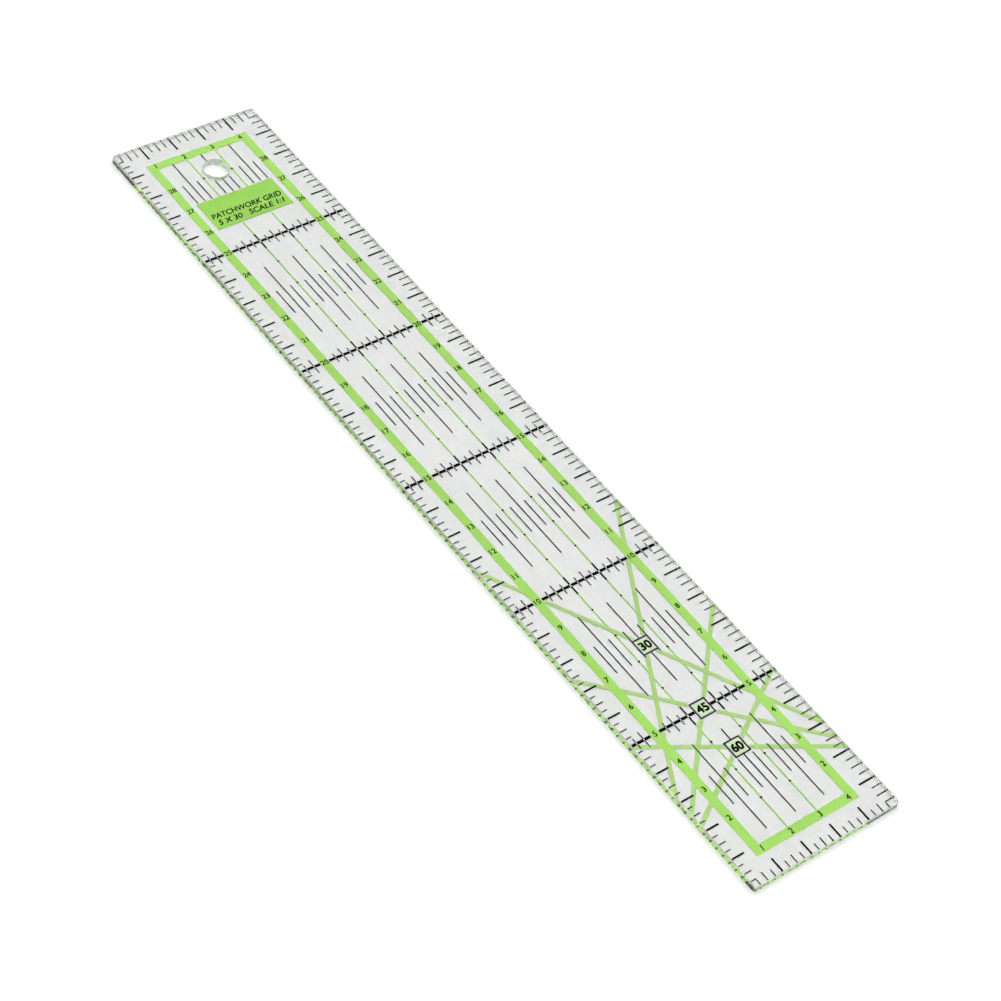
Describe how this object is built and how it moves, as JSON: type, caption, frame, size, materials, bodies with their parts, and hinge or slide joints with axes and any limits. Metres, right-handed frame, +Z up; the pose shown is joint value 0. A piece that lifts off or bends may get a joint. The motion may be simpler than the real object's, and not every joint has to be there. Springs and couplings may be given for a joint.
{
  "type": "quilting ruler",
  "caption": "Clear acrylic straight ruler for quilting, printed underneath with a framed centimetre grid, cross lines and angle lines, with a round hang hole near one end.",
  "frame": {"origin": "centre of the underside, the printed face that rests on the table", "axes": "+Y along the length from the zero end to the end with the hang hole, +X across the width to the right, +Z up out of the top face"},
  "size_m": [0.05, 0.3, 0.0025],
  "materials": {
    "clear_acrylic": "polished",
    "green_ink": "satin",
    "pale_green_ink": "satin",
    "black_ink": "satin"
  },
  "bodies": {
    "root": {"acrylic_plate": "clear_acrylic", "green_frame_print": "green_ink", "label_panel": "green_ink", "angle_30_box_fill": "pale_green_ink", "angle_45_box_fill": "pale_green_ink", "angle_60_box_fill": "pale_green_ink", "angle_30_box_outline": "black_ink", "angle_45_box_outline": "black_ink", "angle_60_box_outline": "black_ink", "cross_line_5_cm_left": "black_ink", "cross_line_5_cm_centre_left": "black_ink", "cross_line_5_cm_centre_right": "black_ink", "cross_line_5_cm_right": "black_ink", "cross_line_10_cm_left": "black_ink", "cross_line_10_cm_centre": "black_ink", "cross_line_10_cm_right": "black_ink", "cross_line_15_cm_left": "black_ink", "cross_line_15_cm_centre": "black_ink", "cross_line_15_cm_right": "black_ink", "cross_line_20_cm_left": "black_ink", "cross_line_20_cm_centre": "black_ink", "cross_line_20_cm_right": "black_ink", "cross_line_25_cm_left": "black_ink", "cross_line_25_cm_centre": "black_ink", "cross_line_25_cm_right": "black_ink"}
  },
  "joints": []
}
